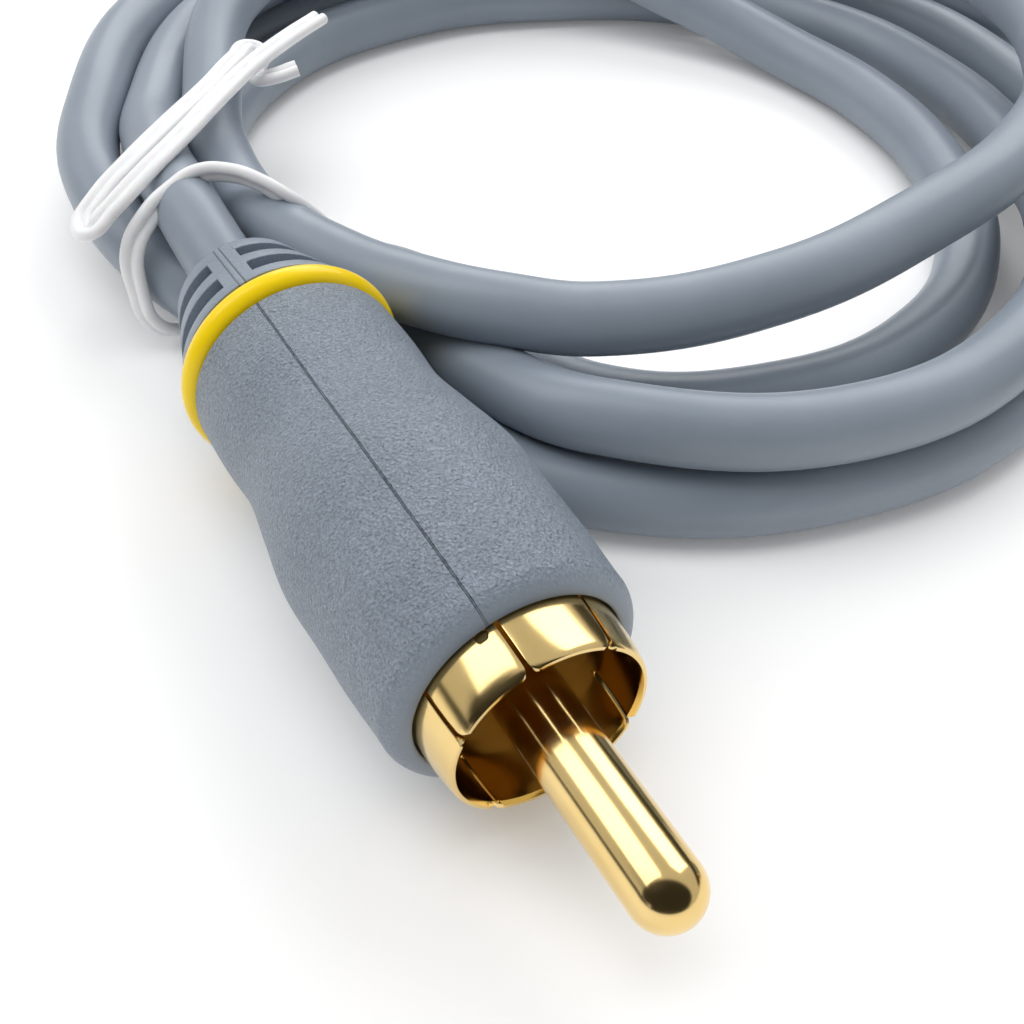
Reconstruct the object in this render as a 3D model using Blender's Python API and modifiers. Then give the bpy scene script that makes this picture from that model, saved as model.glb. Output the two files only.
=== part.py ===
"""Composite video lead: a coiled coaxial cable with a moulded phono plug at each end and a twist tie.

Units are metres and +Z is up. The origin lies on the surface under the middle of the whole object.
Distances along a plug are counted from the rim of its shell: forwards is positive.
"""

import math

import bmesh
import bpy
from mathutils import Matrix, Vector

# The air left between two pieces that touch on the real object.
GAP = 0.0003

# Centre contact: a round-nosed pin on a thinner shank with a solder cup.
PIN_RADIUS = 0.0016
PIN_REACH = 0.0095
SHANK_RADIUS = 0.0010
SHANK_LENGTH = 0.0075
CUP_DEPTH = 0.0025

# Outer contact: a thin sprung shell, with three slots above and three below.
RIM_RADIUS = 0.00435
PETAL_RADIUS = 0.00458
ROOT_RADIUS = 0.00472
BODY_RADIUS = 0.00480
SHELL_WALL = 0.0003
SLOT_WIDTH = 0.0003
SLOT_LENGTH = 0.0029
SLOT_SPACING = math.radians(48)
SLOT_PHASE = math.radians(4)
BACK_WALL = 0.0005
BARREL_LENGTH = 0.0037
EAR_LENGTH = 0.0050
EAR_WIDTH = 0.0020
EAR_THICKNESS = 0.00035

# Insulator: a disc with a neck that holds the pin in the middle of the shell.
CAVITY_DEPTH = 0.0075
DISC_THICKNESS = 0.0025
NECK_RADIUS = 0.0018
NECK_LENGTH = 0.0032

# Cable: jacket, screen, dielectric and inner conductor.
CABLE_RADIUS = 0.00195
SCREEN_RADIUS = 0.00175
DIELECTRIC_RADIUS = 0.0010
CONDUCTOR_RADIUS = 0.00025
CONDUCTOR_LENGTH = 0.0040
DIELECTRIC_LENGTH = 0.0045
SCREEN_LENGTH = 0.0033

# Grip: outer radius at stations behind the rim, from the mouth to the ring's groove.
MOUTH = 0.0032
LIP_ROUND = 0.0011
GRIP_STATIONS = (0.0046, 0.0066, 0.0096, 0.0127, 0.0158, 0.0188, 0.0219, 0.0250)
GRIP_RADII = (0.00592, 0.00616, 0.00624, 0.00632, 0.00589, 0.00549, 0.00562, 0.00560)
GRIP_STEPS = 16

# Colour ring, seated in a groove between the grip and the collar.
RING_WIDTH = 0.0014
RING_RADIUS = 0.00590
GROOVE_RADIUS = 0.0046

# Collar and strain relief, with two slots round the cable, each bridged above and below.
COLLAR_FRONT_RADIUS = 0.00545
COLLAR_REAR_RADIUS = 0.0052
COLLAR_LENGTH = 0.0008
RELIEF_LENGTH = 0.0053
RELIEF_REAR_RADIUS = 0.0037
RELIEF_ROUND = 0.0005
RELIEF_SLOT_WIDTH = 0.0008
RELIEF_SLOT_PITCH = 0.0024
RELIEF_SLOT_START = 0.0002
RELIEF_SLOT_FLOOR = 0.0028
BRIDGE_WIDTH = 0.0013

# Coil: the outer shape of all its turns, lying flat.
COIL_CENTRE = (-0.0129, 0.0111)
COIL_INNER_RADIUS = 0.0208
COIL_OUTER_RADIUS = 0.0345
COIL_HEIGHT = 0.0080
COIL_ROUND = CABLE_RADIUS
COIL_FLAT_DISTANCE = 0.0317
COIL_FLAT_DIRECTION = math.radians(210)
COIL_STEPS = 48

# Places of the two plugs: the middle of the shell's rim, where the nose points, and the roll.
# The front plug lies across the coil's near side, and the side plug beside its right side.
FRONT_PLUG_RIM = (-0.0158, -0.0382)
FRONT_PLUG_HEADING = math.radians(29.8)
FRONT_PLUG_ROLL = math.radians(17)
SIDE_PLUG_OFFSET = 0.0195
SIDE_PLUG_RIM = (COIL_CENTRE[0] + COIL_OUTER_RADIUS + SIDE_PLUG_OFFSET, -0.0234)
SIDE_PLUG_HEADING = 0.0
SIDE_PLUG_ROLL = 0.0

# The free end of the cable, from the coil to the side plug. Each point along its middle has
# a bearing from the coil's centre, a distance beyond the coil's outer wall, and a height.
TAIL_BEARINGS = tuple(math.radians(bearing) for bearing in (69.7, 57.6, 41.8, 26.1, 11.4))
TAIL_DISTANCES = (0.0018, 0.0041, 0.0069, 0.0112, 0.0161)
TAIL_HEIGHTS = (0.0060, 0.0054, 0.0040, 0.0030, 0.0042)
TAIL_STEP = 0.0080

# Twist tie: a loop round the bundle, and its two ends laid together over the top.
TIE_LOOP_RADIUS = 0.0005
TIE_ENDS_RADIUS = 0.0009
TIE_LOOP_POINTS = (
    (-0.0382, -0.0030, 0.0089),
    (-0.0354, 0.0001, 0.0090),
    (-0.0328, -0.0006, 0.0090),
    (-0.0304, -0.0003, 0.0080),
    (-0.0300, 0.0008, 0.0050),
    (-0.0304, 0.0016, 0.0022),
    (-0.0318, 0.0014, 0.0007),
    (-0.0354, -0.0019, 0.0006),
    (-0.0388, -0.0052, 0.0007),
    (-0.0406, -0.0060, 0.0020),
    (-0.0410, -0.0052, 0.0045),
    (-0.0409, -0.0047, 0.0070),
    (-0.0400, -0.0040, 0.0086),
)
TIE_ENDS_POINTS = (
    (-0.0421, -0.0043, 0.0077),
    (-0.0406, -0.0031, 0.0090),
    (-0.0383, -0.0003, 0.0094),
    (-0.0366, 0.0050, 0.0094),
    (-0.0338, 0.0121, 0.0095),
    (-0.0304, 0.0166, 0.0096),
)
TIE_STUB_POINTS = (
    (-0.0354, 0.0086, 0.0093),
    (-0.0334, 0.0103, 0.0093),
    (-0.0315, 0.0108, 0.0093),
)
TIE_LOOP_STEP = 0.0018
TIE_ENDS_STEP = 0.0030

# How finely round shapes are cut.
ROUND_STEPS = 32
FINE_MERGE = 0.000001
SHARP_ANGLE = math.radians(35)

# Places that follow from the sizes above.
AXIS_HEIGHT = max(GRIP_RADII)
CAVITY_RADIUS = BODY_RADIUS - SHELL_WALL
DISC_RADIUS = CAVITY_RADIUS - GAP
DISC_BACK = -CAVITY_DEPTH - DISC_THICKNESS
WALL_FRONT = DISC_BACK - GAP
WALL_BACK = WALL_FRONT - BACK_WALL
BARREL_BORE = NECK_RADIUS + GAP
BARREL_RADIUS = BARREL_BORE + SHELL_WALL
BARREL_BACK = WALL_BACK - BARREL_LENGTH
EAR_BACK = BARREL_BACK - EAR_LENGTH
PIN_SHOULDER = -CAVITY_DEPTH + GAP
SHANK_BACK = PIN_SHOULDER - SHANK_LENGTH
CUP_BORE = CONDUCTOR_RADIUS + GAP
CONDUCTOR_FRONT = SHANK_BACK + CUP_DEPTH - GAP
CONDUCTOR_BACK = CONDUCTOR_FRONT - CONDUCTOR_LENGTH
DIELECTRIC_FRONT = CONDUCTOR_BACK - GAP
DIELECTRIC_BACK = DIELECTRIC_FRONT - DIELECTRIC_LENGTH
JACKET_FRONT = DIELECTRIC_BACK - GAP
SCREEN_BACK = JACKET_FRONT + GAP
SCREEN_FRONT = SCREEN_BACK + SCREEN_LENGTH
GROOVE_FRONT = -GRIP_STATIONS[-1]
GROOVE_BACK = GROOVE_FRONT - RING_WIDTH - 2 * GAP
COLLAR_BACK = GROOVE_BACK - COLLAR_LENGTH
RELIEF_BACK = COLLAR_BACK - RELIEF_LENGTH
EAR_CORNER = math.hypot(BARREL_RADIUS, EAR_WIDTH / 2)


def material(name, colour, roughness, metallic=0.0):
    made = bpy.data.materials.new(name)
    made.use_nodes = True
    shader = made.node_tree.nodes["Principled BSDF"]
    shader.inputs["Base Color"].default_value = (*colour, 1.0)
    shader.inputs["Roughness"].default_value = roughness
    shader.inputs["Metallic"].default_value = metallic
    return made


def place(obj, collection, surface=None, parent=None):
    collection.objects.link(obj)
    obj.parent = parent
    if surface:
        obj.data.materials.append(surface)
    else:
        obj.hide_render = True
        obj.display_type = "WIRE"
    return obj


def turned(name, outline, collection, surface=None, parent=None, steps=ROUND_STEPS, tube=False):
    """A shape turned about local Z from (radius, height) points that run down its outer side."""
    mesh = bpy.data.meshes.new(name)
    profile = bmesh.new()
    points = [profile.verts.new((radius, 0, height)) for radius, height in outline]
    for first, second in zip(points, points[1:]):
        profile.edges.new((first, second))
    if tube:
        profile.edges.new((points[-1], points[0]))
    profile.to_mesh(mesh)
    profile.free()
    obj = place(bpy.data.objects.new(name, mesh), collection, surface, parent)
    screw = obj.modifiers.new("turn", "SCREW")
    screw.steps = steps
    screw.render_steps = steps
    screw.use_merge_vertices = True
    screw.merge_threshold = FINE_MERGE
    screw.use_smooth_shade = True
    return obj


def boxes(name, middles, sizes, turns, collection, parent=None, surface=None):
    """Boxes of one size each, turned about local Z, in one mesh."""
    mesh = bpy.data.meshes.new(name)
    shape = bmesh.new()
    for middle, size, turn in zip(middles, sizes, turns):
        matrix = Matrix.Rotation(turn, 4, "Z") @ Matrix.Translation(middle) @ Matrix.Diagonal((*size, 1))
        bmesh.ops.create_cube(shape, size=1, matrix=matrix)
    shape.to_mesh(mesh)
    shape.free()
    return place(bpy.data.objects.new(name, mesh), collection, surface, parent)


def bend(name, points, radius, collection, surface, round_cuts=2, cyclic=False):
    """A round tube along the points."""
    curve = bpy.data.curves.new(name, "CURVE")
    curve.dimensions = "3D"
    curve.bevel_depth = radius
    curve.bevel_resolution = round_cuts
    curve.use_fill_caps = True
    spline = curve.splines.new("POLY")
    spline.points.add(len(points) - 1)
    for target, point in zip(spline.points, points):
        target.co = (*point, 1)
    spline.use_cyclic_u = cyclic
    return place(bpy.data.objects.new(name, curve), collection, surface)


def as_mesh(obj, collection, surface=None):
    """A curve made a closed mesh, so that it can be cut or joined."""
    graph = bpy.context.evaluated_depsgraph_get()
    mesh = bpy.data.meshes.new_from_object(obj.evaluated_get(graph))
    welded = bmesh.new()
    welded.from_mesh(mesh)
    bmesh.ops.remove_doubles(welded, verts=welded.verts, dist=FINE_MERGE)
    welded.to_mesh(mesh)
    welded.free()
    mesh.materials.clear()
    name = obj.name
    matrix = obj.matrix_world.copy()
    bpy.data.objects.remove(obj)
    made = place(bpy.data.objects.new(name, mesh), collection, surface)
    made.matrix_world = matrix
    return made


def boolean(obj, other, operation):
    change = obj.modifiers.new(other.name, "BOOLEAN")
    change.operation = operation
    change.object = other


def smooth_curve(points, spacing, cyclic=False):
    """Evenly spaced points on a Catmull-Rom curve through the points."""
    middle = [Vector(point) for point in points]
    if cyclic:
        guides = [middle[-1], *middle, middle[0], middle[1]]
    else:
        guides = [2 * middle[0] - middle[1], *middle, 2 * middle[-1] - middle[-2]]
    dense = []
    for before, start, end, after in zip(guides, guides[1:], guides[2:], guides[3:]):
        for step in range(20):
            t = step / 20
            dense.append(
                (
                    2 * start
                    + (end - before) * t
                    + (2 * before - 5 * start + 4 * end - after) * t**2
                    + (3 * start - before - 3 * end + after) * t**3
                )
                / 2
            )
    dense.append(guides[-2])
    lengths = [0.0]
    for first, second in zip(dense, dense[1:]):
        lengths.append(lengths[-1] + (second - first).length)
    count = max(2, round(lengths[-1] / spacing))
    even = []
    at = 0
    for step in range(count + 1):
        wanted = lengths[-1] * step / count
        while at < len(lengths) - 2 and lengths[at + 1] < wanted:
            at += 1
        share = (wanted - lengths[at]) / (lengths[at + 1] - lengths[at])
        even.append(dense[at].lerp(dense[at + 1], min(share, 1)))
    if cyclic:
        even.pop()
    return even


def quarter(centre_radius, centre_height, size, start, steps=3):
    """Points of a quarter circle that turns clockwise from the start angle, in degrees."""
    angles = [math.radians(start - 90 * step / steps) for step in range(steps + 1)]
    return [(centre_radius + size * math.cos(a), centre_height + size * math.sin(a)) for a in angles]


def grip_radius(behind):
    """The grip's outer radius at a distance behind the rim, on a smooth curve through its stations."""
    last = len(GRIP_STATIONS) - 1
    cell = 0
    while cell < last - 1 and GRIP_STATIONS[cell + 1] < behind:
        cell += 1
    t = (behind - GRIP_STATIONS[cell]) / (GRIP_STATIONS[cell + 1] - GRIP_STATIONS[cell])
    before, start, end, after = (GRIP_RADII[min(max(cell + k, 0), last)] for k in (-1, 0, 1, 2))
    bow = (2 * before - 5 * start + 4 * end - after) * t**2 + (3 * start - before - 3 * end + after) * t**3
    return (2 * start + (end - before) * t + bow) / 2


def plug_frame(name, rim, heading, roll, collection):
    """An empty at the middle of a shell's rim. Its Z points forwards and its Y at the parting seam."""
    frame = bpy.data.objects.new(name, None)
    collection.objects.link(frame)
    turn = Matrix.Rotation(heading, 4, "Z") @ Matrix.Rotation(math.radians(90), 4, "X")
    roll_turn = Matrix.Rotation(roll, 4, "Z")
    frame.matrix_world = Matrix.Translation((*rim, AXIS_HEIGHT)) @ turn @ roll_turn
    return frame


def centre_pin(end, frame, parts, gold):
    nose = quarter(0, PIN_REACH - PIN_RADIUS, PIN_RADIUS, 90, 6)
    outline = [
        *nose,
        (PIN_RADIUS, PIN_SHOULDER),
        (SHANK_RADIUS, PIN_SHOULDER),
        (SHANK_RADIUS, SHANK_BACK),
        (CUP_BORE, SHANK_BACK),
        (CUP_BORE, SHANK_BACK + CUP_DEPTH),
        (0, SHANK_BACK + CUP_DEPTH),
    ]
    turned(f"centre_pin_{end}", outline, parts, gold, frame)


def contact_shell(end, frame, parts, cutters, gold):
    outline = [
        (RIM_RADIUS, 0),
        (PETAL_RADIUS, -SLOT_LENGTH / 2),
        (ROOT_RADIUS, -SLOT_LENGTH),
        (BODY_RADIUS, -MOUTH),
        (BODY_RADIUS, WALL_BACK),
        (BARREL_RADIUS, WALL_BACK),
        (BARREL_RADIUS, BARREL_BACK),
        (BARREL_BORE, BARREL_BACK),
        (BARREL_BORE, WALL_FRONT),
        (CAVITY_RADIUS, WALL_FRONT),
        (CAVITY_RADIUS, -MOUTH),
        (ROOT_RADIUS - SHELL_WALL, -SLOT_LENGTH),
        (PETAL_RADIUS - SHELL_WALL, -SLOT_LENGTH / 2),
        (RIM_RADIUS - SHELL_WALL, 0),
    ]
    shell = turned(f"contact_shell_{end}", outline, parts, gold, frame, tube=True)
    inside = RIM_RADIUS - 3 * SHELL_WALL
    outside = BODY_RADIUS + SHELL_WALL
    middle = (0, (inside + outside) / 2, 0)
    size = (SLOT_WIDTH, outside - inside, 2 * SLOT_LENGTH)
    turns = [SLOT_PHASE + side * math.pi + step * SLOT_SPACING for side in (0, 1) for step in (-1, 0, 1)]
    turns = [-turn for turn in turns]
    slots = boxes(f"shell_slots_{end}", [middle] * 6, [size] * 6, turns, cutters, frame)
    boolean(shell, slots, "DIFFERENCE")
    ear_front = BARREL_BACK + BARREL_LENGTH / 2
    ear_middle = (0, -BARREL_RADIUS + EAR_THICKNESS / 2, (ear_front + EAR_BACK) / 2)
    ear_size = (EAR_WIDTH, EAR_THICKNESS, ear_front - EAR_BACK)
    ear = boxes(f"solder_ear_{end}", [ear_middle], [ear_size], [0], cutters, frame)
    boolean(shell, ear, "UNION")


def insulator(end, frame, parts, nylon):
    bore = SHANK_RADIUS + GAP
    outline = [
        (bore, -CAVITY_DEPTH),
        (DISC_RADIUS, -CAVITY_DEPTH),
        (DISC_RADIUS, DISC_BACK),
        (NECK_RADIUS, DISC_BACK),
        (NECK_RADIUS, DISC_BACK - NECK_LENGTH),
        (bore, DISC_BACK - NECK_LENGTH),
    ]
    turned(f"insulator_{end}", outline, parts, nylon, frame, tube=True)


def cable_core(end, frame, parts, copper, polythene, braid):
    conductor = [
        (0, CONDUCTOR_FRONT),
        (CONDUCTOR_RADIUS, CONDUCTOR_FRONT),
        (CONDUCTOR_RADIUS, CONDUCTOR_BACK),
        (0, CONDUCTOR_BACK),
    ]
    turned(f"conductor_{end}", conductor, parts, copper, frame, steps=16)
    dielectric = [
        (0, DIELECTRIC_FRONT),
        (DIELECTRIC_RADIUS, DIELECTRIC_FRONT),
        (DIELECTRIC_RADIUS, DIELECTRIC_BACK),
        (0, DIELECTRIC_BACK),
    ]
    turned(f"dielectric_{end}", dielectric, parts, polythene, frame, steps=24)
    bore = DIELECTRIC_RADIUS + GAP
    screen = [
        (bore, SCREEN_FRONT),
        (SCREEN_RADIUS, SCREEN_FRONT),
        (SCREEN_RADIUS, SCREEN_BACK),
        (bore, SCREEN_BACK),
    ]
    turned(f"screen_{end}", screen, parts, braid, frame, steps=24, tube=True)


def grip(end, frame, parts, cutters, pvc):
    """The overmould in one piece: grip, groove for the ring, collar and strain relief."""
    mouth_bore = BODY_RADIUS + GAP
    lip_radius = GRIP_RADII[0]
    lip = [(mouth_bore, -MOUTH), *quarter(lip_radius - LIP_ROUND, -MOUTH - LIP_ROUND, LIP_ROUND, 78)]
    length = GRIP_STATIONS[-1] - GRIP_STATIONS[0]
    behind = [GRIP_STATIONS[0] + length * step / GRIP_STEPS for step in range(GRIP_STEPS + 1)]
    body = [(grip_radius(distance), -distance) for distance in behind]
    jacket_bore = CABLE_RADIUS + GAP
    inner_bore = EAR_CORNER + GAP
    outline = [
        *lip,
        *body,
        (GROOVE_RADIUS, GROOVE_FRONT),
        (GROOVE_RADIUS, GROOVE_BACK),
        (COLLAR_FRONT_RADIUS, GROOVE_BACK),
        (COLLAR_REAR_RADIUS, COLLAR_BACK),
        (RELIEF_REAR_RADIUS, RELIEF_BACK + RELIEF_ROUND),
        (RELIEF_REAR_RADIUS - RELIEF_ROUND, RELIEF_BACK),
        (jacket_bore, RELIEF_BACK),
        (jacket_bore, EAR_BACK - GAP),
        (inner_bore, EAR_BACK - GAP),
        (inner_bore, WALL_BACK - GAP),
        (mouth_bore, WALL_BACK - GAP),
    ]
    moulding = turned(f"grip_{end}", outline, parts, pvc, frame, tube=True)
    bridge_middle = (0, 0, (COLLAR_BACK + RELIEF_BACK) / 2)
    bridge_size = (BRIDGE_WIDTH, 4 * COLLAR_FRONT_RADIUS, 2 * RELIEF_LENGTH)
    bridge = boxes(f"relief_bridge_{end}", [bridge_middle], [bridge_size], [0], cutters, frame)
    for number in (0, 1):
        front = COLLAR_BACK - RELIEF_SLOT_START - number * RELIEF_SLOT_PITCH
        slot_outline = [
            (RELIEF_SLOT_FLOOR, front),
            (COLLAR_FRONT_RADIUS, front),
            (COLLAR_FRONT_RADIUS, front - RELIEF_SLOT_WIDTH),
            (RELIEF_SLOT_FLOOR, front - RELIEF_SLOT_WIDTH),
        ]
        slot = turned(f"relief_slot_{number}_{end}", slot_outline, cutters, None, frame, tube=True)
        boolean(slot, bridge, "DIFFERENCE")
        boolean(moulding, slot, "DIFFERENCE")


def colour_ring(end, frame, parts, yellow):
    """A round-backed bead that stands a little proud of the grip."""
    middle = GROOVE_FRONT - GAP - RING_WIDTH / 2
    bead = RING_WIDTH / 2
    crown = RING_RADIUS - bead
    bore = GROOVE_RADIUS + GAP
    outline = [
        (bore, middle + bead),
        *quarter(crown, middle, bead, 90),
        *quarter(crown, middle, bead, 0)[1:],
        (bore, middle - bead),
    ]
    turned(f"colour_ring_{end}", outline, parts, yellow, frame, tube=True)


def plug(end, frame, parts, cutters, finishes):
    centre_pin(end, frame, parts, finishes["gold"])
    contact_shell(end, frame, parts, cutters, finishes["gold"])
    insulator(end, frame, parts, finishes["nylon"])
    cable_core(end, frame, parts, finishes["copper"], finishes["polythene"], finishes["braid"])
    grip(end, frame, parts, cutters, finishes["pvc"])
    colour_ring(end, frame, parts, finishes["yellow"])


def along(frame, distance):
    """The point on a plug's axis at this distance from the rim."""
    return frame.matrix_world @ Vector((0, 0, distance))


def twist_tie(parts, cutters, white):
    """One coated wire: a loop round the bundle, its ends laid together, and the shorter end bent away."""
    loop_route = smooth_curve(TIE_LOOP_POINTS, TIE_LOOP_STEP, cyclic=True)
    ends_route = smooth_curve(TIE_ENDS_POINTS, TIE_ENDS_STEP)
    stub_route = smooth_curve(TIE_STUB_POINTS, TIE_LOOP_STEP)
    loop = bend("tie_loop", loop_route, TIE_LOOP_RADIUS, cutters, None, cyclic=True)
    stub = bend("tie_stub", stub_route, TIE_LOOP_RADIUS, cutters, None)
    ends = bend("twist_tie", ends_route, TIE_ENDS_RADIUS, cutters, None)
    tie = as_mesh(ends, parts, white)
    boolean(tie, as_mesh(loop, cutters), "UNION")
    boolean(tie, as_mesh(stub, cutters), "UNION")


def cable_coil(front, parts, cutters, pvc):
    """The outer shape of the turns, with room for the front plug's rear end and for the tie."""
    top = COIL_HEIGHT
    corner = COIL_ROUND
    outline = [
        *quarter(COIL_INNER_RADIUS + corner, top - corner, corner, 180),
        *quarter(COIL_OUTER_RADIUS - corner, top - corner, corner, 90),
        *quarter(COIL_OUTER_RADIUS - corner, corner, corner, 0),
        *quarter(COIL_INNER_RADIUS + corner, corner, corner, -90),
    ]
    coil = turned("cable_coil", outline, parts, pvc, steps=COIL_STEPS, tube=True)
    coil.location = (*COIL_CENTRE, 0)
    room_back = RELIEF_BACK - 2 * GAP
    room_outline = [
        (0, PIN_REACH),
        (AXIS_HEIGHT + GAP, PIN_REACH),
        (AXIS_HEIGHT + GAP, -GRIP_STATIONS[3]),
        (RING_RADIUS + GAP, -GRIP_STATIONS[5]),
        (RING_RADIUS + GAP, GROOVE_BACK),
        (COLLAR_FRONT_RADIUS + GAP, GROOVE_BACK),
        (COLLAR_REAR_RADIUS + GAP, COLLAR_BACK),
        (RELIEF_REAR_RADIUS + GAP, room_back),
        (0, room_back),
    ]
    room = turned("plug_room", room_outline, cutters, None, front)
    boolean(coil, room, "DIFFERENCE")
    flat_middle = (COIL_FLAT_DISTANCE + COIL_OUTER_RADIUS, 0, COIL_HEIGHT / 2)
    flat_size = (2 * COIL_OUTER_RADIUS, 2 * COIL_OUTER_RADIUS, 2 * COIL_HEIGHT)
    flat = boxes("tied_side", [flat_middle], [flat_size], [COIL_FLAT_DIRECTION], cutters)
    flat.location = coil.location
    boolean(coil, flat, "DIFFERENCE")
    around = (
        (TIE_LOOP_POINTS, TIE_LOOP_RADIUS, TIE_LOOP_STEP, True),
        (TIE_ENDS_POINTS, TIE_ENDS_RADIUS, TIE_ENDS_STEP, False),
        (TIE_STUB_POINTS, TIE_LOOP_RADIUS, TIE_LOOP_STEP, False),
    )
    for number, (points, radius, spacing, cyclic) in enumerate(around):
        route = smooth_curve(points, spacing, cyclic)
        channel = bend(f"tie_room_{number}", route, radius + GAP, cutters, None, cyclic=cyclic)
        boolean(coil, as_mesh(channel, cutters), "DIFFERENCE")


def cable_ends(front, side, parts, pvc):
    """The jacket in the front plug, and the free end that runs from the coil into the side plug."""
    lead_stations = (JACKET_FRONT, (JACKET_FRONT + RELIEF_BACK) / 2, RELIEF_BACK - GAP)
    lead = [along(front, station) for station in lead_stations]
    bend("cable_lead", lead, CABLE_RADIUS, parts, pvc, round_cuts=3)
    tail = []
    for bearing, distance, height in zip(TAIL_BEARINGS, TAIL_DISTANCES, TAIL_HEIGHTS):
        radius = COIL_OUTER_RADIUS + distance
        x = COIL_CENTRE[0] + radius * math.cos(bearing)
        y = COIL_CENTRE[1] + radius * math.sin(bearing)
        tail.append((x, y, height))
    inside_stations = (RELIEF_BACK - 2 * CABLE_RADIUS, RELIEF_BACK, JACKET_FRONT)
    inside = [along(side, station) for station in inside_stations]
    route = smooth_curve([*tail, *inside], TAIL_STEP)
    bend("cable_tail", route, CABLE_RADIUS, parts, pvc, round_cuts=3)


for old in list(bpy.data.objects):
    bpy.data.objects.remove(old)

parts = bpy.data.collections.new("composite_video_cable")
cutters = bpy.data.collections.new("cutters")
bpy.context.scene.collection.children.link(parts)
bpy.context.scene.collection.children.link(cutters)

finishes = {
    "gold": material("gold_plate", (0.90, 0.66, 0.26), 0.16, 1.0),
    "nylon": material("natural_nylon", (0.86, 0.84, 0.78), 0.45),
    "copper": material("copper", (0.86, 0.45, 0.27), 0.3, 1.0),
    "polythene": material("polythene", (0.88, 0.88, 0.86), 0.5),
    "braid": material("tinned_braid", (0.68, 0.60, 0.50), 0.4, 1.0),
    "pvc": material("grey_pvc", (0.19, 0.23, 0.28), 0.42),
    "yellow": material("yellow_pvc", (0.95, 0.74, 0.01), 0.3),
    "white": material("white_tie", (0.92, 0.92, 0.92), 0.4),
}

front = plug_frame("front_plug", FRONT_PLUG_RIM, FRONT_PLUG_HEADING, FRONT_PLUG_ROLL, parts)
side = plug_frame("side_plug", SIDE_PLUG_RIM, SIDE_PLUG_HEADING, SIDE_PLUG_ROLL, parts)
plug("front", front, parts, cutters, finishes)
plug("side", side, parts, cutters, finishes)
cable_ends(front, side, parts, finishes["pvc"])
cable_coil(front, parts, cutters, finishes["pvc"])
twist_tie(parts, cutters, finishes["white"])

bpy.context.view_layer.update()
for obj in parts.objects:
    if obj.type == "MESH":
        obj.data.shade_smooth()
        obj.data.set_sharp_from_angle(angle=SHARP_ANGLE)
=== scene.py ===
import math

import bpy
from mathutils import Matrix, Vector


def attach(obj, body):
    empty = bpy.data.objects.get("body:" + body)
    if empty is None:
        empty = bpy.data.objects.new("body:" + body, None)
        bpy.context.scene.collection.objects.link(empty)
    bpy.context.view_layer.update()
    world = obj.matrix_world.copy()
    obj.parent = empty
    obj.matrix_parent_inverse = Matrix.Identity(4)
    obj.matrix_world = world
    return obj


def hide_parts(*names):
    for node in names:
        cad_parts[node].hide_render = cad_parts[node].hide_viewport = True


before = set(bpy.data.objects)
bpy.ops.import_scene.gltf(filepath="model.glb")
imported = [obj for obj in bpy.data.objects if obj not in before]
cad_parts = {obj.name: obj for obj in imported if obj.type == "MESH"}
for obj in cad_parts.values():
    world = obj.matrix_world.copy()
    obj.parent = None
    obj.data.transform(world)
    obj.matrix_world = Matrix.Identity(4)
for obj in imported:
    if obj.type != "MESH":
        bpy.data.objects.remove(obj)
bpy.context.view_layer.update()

# Camera, floor and light: a product shot from close by, looking down at the front plug's nose.
# The floor is white paper. Soft boxes stand left, right and behind, a soft lamp hangs above, and
# dark cards with faded edges, seen in reflections only, give the gold something to mirror.
camera_data = bpy.data.cameras.new("camera")
camera_data.sensor_width = 36
camera_data.lens = 45.7
camera_data.clip_start = 0.001
camera = bpy.data.objects.new("camera", camera_data)
bpy.context.scene.collection.objects.link(camera)
camera.location = (-0.0174, -0.0679, 0.0493)
camera.rotation_euler = (math.radians(44.2), 0, 0)
bpy.context.scene.camera = camera
bpy.context.scene.view_settings.view_transform = "Standard"


def new_material(name, roughness=0.5, metallic=0.0):
    """A material and its Principled shader."""
    made = bpy.data.materials.new(name)
    made.use_nodes = True
    shader = made.node_tree.nodes["Principled BSDF"]
    shader.inputs["Roughness"].default_value = roughness
    shader.inputs["Metallic"].default_value = metallic
    return made, shader


def add_node(made, kind, links=(), **settings):
    """A node of this kind: links holds (from socket, to input), settings the node's own fields."""
    node = made.node_tree.nodes.new(kind)
    for name, value in settings.items():
        setattr(node, name, value)
    for source, target in links:
        made.node_tree.links.new(source, node.inputs[target])
    return node


def join_sockets(made, source, target):
    """A link from one node's output to another's input."""
    made.node_tree.links.new(source, target)


def seen_rays(made):
    """A socket that is 1 on camera, glossy and transmission rays and 0 on all others."""
    rays = add_node(made, "ShaderNodeLightPath")
    direct = [(rays.outputs["Is Camera Ray"], 0), (rays.outputs["Is Glossy Ray"], 1)]
    seen = add_node(made, "ShaderNodeMath", direct, operation="MAXIMUM")
    through = [(seen.outputs[0], 0), (rays.outputs["Is Transmission Ray"], 1)]
    return add_node(made, "ShaderNodeMath", through, operation="MAXIMUM").outputs[0]


paper, paper_shader = new_material("white_paper", 0.9)
paper_shader.inputs["Base Color"].default_value = (0.93, 0.93, 0.93, 1)
paper_shader.inputs["Specular IOR Level"].default_value = 0.1
paper_shader.inputs["Emission Color"].default_value = (1, 1, 1, 1)
glow = add_node(paper, "ShaderNodeMath", [(seen_rays(paper), 0)], operation="MULTIPLY")
glow.inputs[1].default_value = 0.10
join_sockets(paper, glow.outputs[0], paper_shader.inputs["Emission Strength"])
FLOOR_SIZE = 4
FLOOR_HEIGHT = -0.00006
bpy.ops.mesh.primitive_plane_add(size=FLOOR_SIZE, location=(0, 0, FLOOR_HEIGHT))
floor = bpy.context.object
floor.name = "floor"
floor.data.materials.append(paper)

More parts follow.
